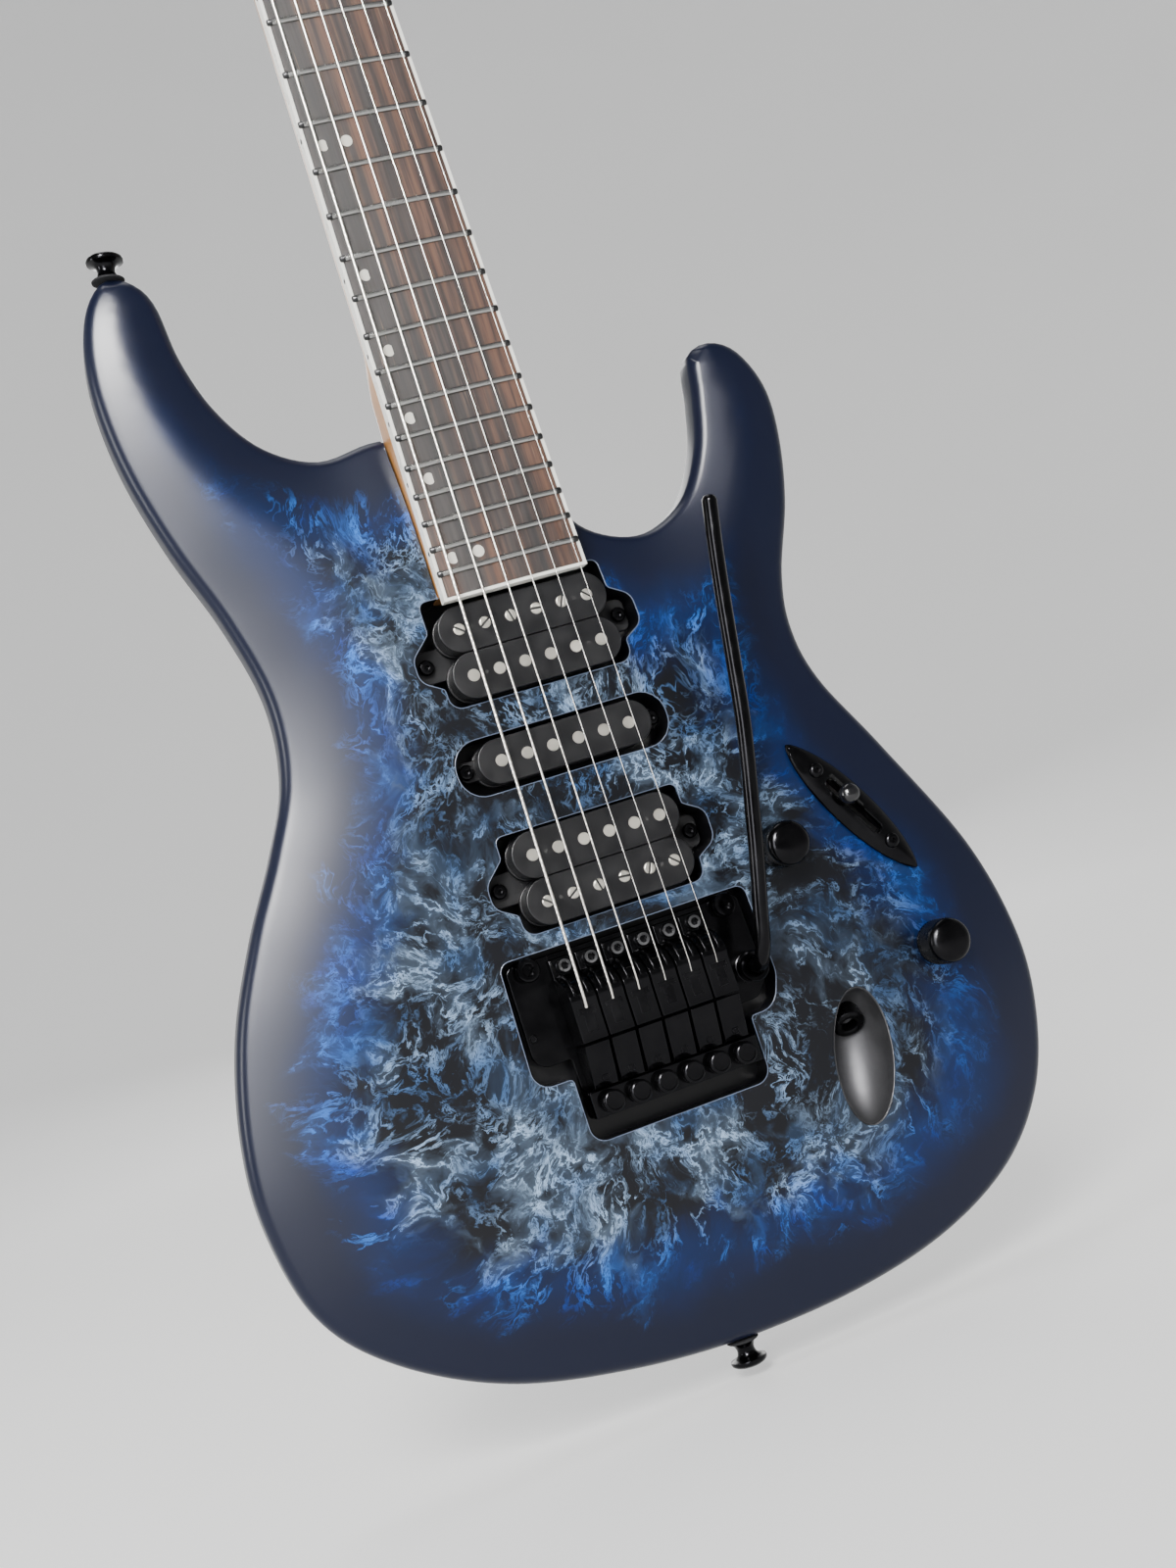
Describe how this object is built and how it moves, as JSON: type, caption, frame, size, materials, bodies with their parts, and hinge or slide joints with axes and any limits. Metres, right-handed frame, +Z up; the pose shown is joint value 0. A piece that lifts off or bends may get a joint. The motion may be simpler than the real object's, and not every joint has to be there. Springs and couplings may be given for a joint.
{
  "type": "electric guitar",
  "caption": "Double-cutaway electric guitar with thin arched body, bolt-on neck, pickups, recessed locking tremolo and swinging arm, knobs and blade switch.",
  "frame": {"origin": "on the neck centre line at the nut, at the level of the fingerboard surface", "axes": "+Z up the neck to the headstock, -Y out of the face on the strings side, +X to the treble side"},
  "size_m": [0.3221, 0.0854, 1.0064],
  "materials": {
    "blue_burst": "matte cosmic blue burst, white-blue marbled centre, near-black edge",
    "maple": "satin, amber tint",
    "rosewood": "oiled open grain",
    "cream_binding": "polished",
    "nickel_fret": "polished",
    "steel_string": "bright, wound",
    "black_metal": "black nickel gloss",
    "black_plastic": "gloss",
    "pickup_plastic": "satin black bobbin",
    "spring_steel": "zinc-plated",
    "pot_steel": "plated"
  },
  "bodies": {
    "guitar": {"body": "blue_burst", "neck": "maple", "fingerboard": "rosewood", "fingerboard_binding": "cream_binding", "frets": "nickel_fret", "nut": "black_metal", "neck_plate": "black_metal", "tuner_rail": "black_metal", "string_1": "steel_string", "string_2": "steel_string", "string_3": "steel_string", "string_4": "steel_string", "string_5": "steel_string", "string_6": "steel_string", "stud_bass": "black_metal", "stud_treble": "black_metal", "tremolo_spring_1": "spring_steel", "tremolo_spring_2": "spring_steel", "tremolo_spring_3": "spring_steel", "spring_claw": "spring_steel", "neck_pickup": "pickup_plastic", "middle_pickup": "pickup_plastic", "bridge_pickup": "pickup_plastic", "volume_pot": "pot_steel", "tone_pot": "pot_steel", "switch_plate": "black_metal", "jack_cup": "black_plastic", "strap_button_upper": "black_metal", "strap_button_lower": "black_metal", "tremolo_cover": "black_plastic", "control_cover": "black_plastic"},
    "tremolo": {"tremolo_plate": "black_metal", "saddle_1": "black_metal", "saddle_2": "black_metal", "saddle_3": "black_metal", "saddle_4": "black_metal", "saddle_5": "black_metal", "saddle_6": "black_metal"},
    "arm": {"tremolo_arm": "black_metal"},
    "switch_lever": {"switch_lever": "black_metal"},
    "volume_knob": {"volume_knob": "black_metal"},
    "tone_knob": {"tone_knob": "black_metal"},
    "fine_tuner_1": {"fine_tuner_1": "black_metal"},
    "tuner_post_1": {"tuner_post_1": "black_metal"},
    "tuner_button_1": {"tuner_button_1": "black_metal"},
    "fine_tuner_2": {"fine_tuner_2": "black_metal"},
    "tuner_post_2": {"tuner_post_2": "black_metal"},
    "tuner_button_2": {"tuner_button_2": "black_metal"},
    "fine_tuner_3": {"fine_tuner_3": "black_metal"},
    "tuner_post_3": {"tuner_post_3": "black_metal"},
    "tuner_button_3": {"tuner_button_3": "black_metal"},
    "fine_tuner_4": {"fine_tuner_4": "black_metal"},
    "tuner_post_4": {"tuner_post_4": "black_metal"},
    "tuner_button_4": {"tuner_button_4": "black_metal"},
    "fine_tuner_5": {"fine_tuner_5": "black_metal"},
    "tuner_post_5": {"tuner_post_5": "black_metal"},
    "tuner_button_5": {"tuner_button_5": "black_metal"},
    "fine_tuner_6": {"fine_tuner_6": "black_metal"},
    "tuner_post_6": {"tuner_post_6": "black_metal"},
    "tuner_button_6": {"tuner_button_6": "black_metal"}
  },
  "joints": [
    {"name": "tremolo_pivot", "type": "hinge", "parent": "guitar", "child": "tremolo", "pos_m": [0, 0.0133, -0.6405], "axis": [1, 0, 0], "range_deg": [-6, 3], "stiffness_Nm_per_rad": 60, "deforming": ["tremolo_spring_1", "tremolo_spring_2", "tremolo_spring_3", "string_1", "string_2", "string_3", "string_4", "string_5", "string_6"]},
    {"name": "arm_swing", "type": "hinge", "parent": "tremolo", "child": "arm", "pos_m": [0.0434, 0.005, -0.6627], "axis": [0, 1, 0], "range_deg": [-12, 150]},
    {"name": "switch_throw", "type": "hinge", "parent": "guitar", "child": "switch_lever", "pos_m": [0.1054, 0.031, -0.6163], "axis": [0.8548, 0, 0.5189], "range_deg": [-11, 33]},
    {"name": "volume_turn", "type": "hinge", "parent": "guitar", "child": "volume_knob", "pos_m": [0.0695, 0.0076, -0.6222], "axis": [0, -1, 0], "range_deg": [-135, 135]},
    {"name": "tone_turn", "type": "hinge", "parent": "guitar", "child": "tone_knob", "pos_m": [0.1206, 0.0076, -0.6778], "axis": [0, -1, 0], "range_deg": [-135, 135]},
    {"name": "fine_tuner_1_turn", "type": "hinge", "parent": "tremolo", "child": "fine_tuner_1", "pos_m": [0.02725, 0.0025, -0.692], "axis": [0, -1, 0], "range_deg": [-540, 540]},
    {"name": "fine_tuner_2_turn", "type": "hinge", "parent": "tremolo", "child": "fine_tuner_2", "pos_m": [0.01635, 0.0025, -0.692], "axis": [0, -1, 0], "range_deg": [-540, 540]},
    {"name": "fine_tuner_3_turn", "type": "hinge", "parent": "tremolo", "child": "fine_tuner_3", "pos_m": [0.00545, 0.0025, -0.692], "axis": [0, -1, 0], "range_deg": [-540, 540]},
    {"name": "fine_tuner_4_turn", "type": "hinge", "parent": "tremolo", "child": "fine_tuner_4", "pos_m": [-0.00545, 0.0025, -0.692], "axis": [0, -1, 0], "range_deg": [-540, 540]},
    {"name": "fine_tuner_5_turn", "type": "hinge", "parent": "tremolo", "child": "fine_tuner_5", "pos_m": [-0.01635, 0.0025, -0.692], "axis": [0, -1, 0], "range_deg": [-540, 540]},
    {"name": "fine_tuner_6_turn", "type": "hinge", "parent": "tremolo", "child": "fine_tuner_6", "pos_m": [-0.02725, 0.0025, -0.692], "axis": [0, -1, 0], "range_deg": [-540, 540]},
    {"name": "tuner_button_1_turn", "type": "hinge", "parent": "guitar", "child": "tuner_button_1", "pos_m": [0.00053, 0.05564, 0.16718], "axis": [-0.9679, 0.048, 0.2468], "range_deg": [-1440, 1440]},
    {"name": "tuner_post_1_turn", "type": "hinge", "parent": "guitar", "child": "tuner_post_1", "pos_m": [0.01146, 0.03596, 0.16812], "axis": [0, -0.9816, 0.1908], "range_deg": [-90, 90]},
    {"name": "tuner_button_2_turn", "type": "hinge", "parent": "guitar", "child": "tuner_button_2", "pos_m": [-0.00597, 0.05087, 0.14264], "axis": [-0.9679, 0.048, 0.2468], "range_deg": [-1440, 1440]},
    {"name": "tuner_post_2_turn", "type": "hinge", "parent": "guitar", "child": "tuner_post_2", "pos_m": [0.00497, 0.03119, 0.14358], "axis": [0, -0.9816, 0.1908], "range_deg": [-90, 90]},
    {"name": "tuner_button_3_turn", "type": "hinge", "parent": "guitar", "child": "tuner_button_3", "pos_m": [-0.01246, 0.0461, 0.1181], "axis": [-0.9679, 0.048, 0.2468], "range_deg": [-1440, 1440]},
    {"name": "tuner_post_3_turn", "type": "hinge", "parent": "guitar", "child": "tuner_post_3", "pos_m": [-0.00152, 0.02642, 0.11903], "axis": [0, -0.9816, 0.1908], "range_deg": [-90, 90]},
    {"name": "tuner_button_4_turn", "type": "hinge", "parent": "guitar", "child": "tuner_button_4", "pos_m": [-0.01895, 0.04133, 0.09356], "axis": [-0.9679, 0.048, 0.2468], "range_deg": [-1440, 1440]},
    {"name": "tuner_post_4_turn", "type": "hinge", "parent": "guitar", "child": "tuner_post_4", "pos_m": [-0.00802, 0.02165, 0.09449], "axis": [0, -0.9816, 0.1908], "range_deg": [-90, 90]},
    {"name": "tuner_button_5_turn", "type": "hinge", "parent": "guitar", "child": "tuner_button_5", "pos_m": [-0.02545, 0.03656, 0.06902], "axis": [-0.9679, 0.048, 0.2468], "range_deg": [-1440, 1440]},
    {"name": "tuner_post_5_turn", "type": "hinge", "parent": "guitar", "child": "tuner_post_5", "pos_m": [-0.01451, 0.01688, 0.06995], "axis": [0, -0.9816, 0.1908], "range_deg": [-90, 90]},
    {"name": "tuner_button_6_turn", "type": "hinge", "parent": "guitar", "child": "tuner_button_6", "pos_m": [-0.03194, 0.03179, 0.04448], "axis": [-0.9679, 0.048, 0.2468], "range_deg": [-1440, 1440]},
    {"name": "tuner_post_6_turn", "type": "hinge", "parent": "guitar", "child": "tuner_post_6", "pos_m": [-0.02101, 0.01211, 0.04541], "axis": [0, -0.9816, 0.1908], "range_deg": [-90, 90]}
  ],
  "couplings": [
    {"joint": "tuner_post_1_turn", "follows": "tuner_button_1_turn", "ratio": 0.0625},
    {"joint": "tuner_post_2_turn", "follows": "tuner_button_2_turn", "ratio": 0.0625},
    {"joint": "tuner_post_3_turn", "follows": "tuner_button_3_turn", "ratio": 0.0625},
    {"joint": "tuner_post_4_turn", "follows": "tuner_button_4_turn", "ratio": 0.0625},
    {"joint": "tuner_post_5_turn", "follows": "tuner_button_5_turn", "ratio": 0.0625},
    {"joint": "tuner_post_6_turn", "follows": "tuner_button_6_turn", "ratio": 0.0625}
  ]
}
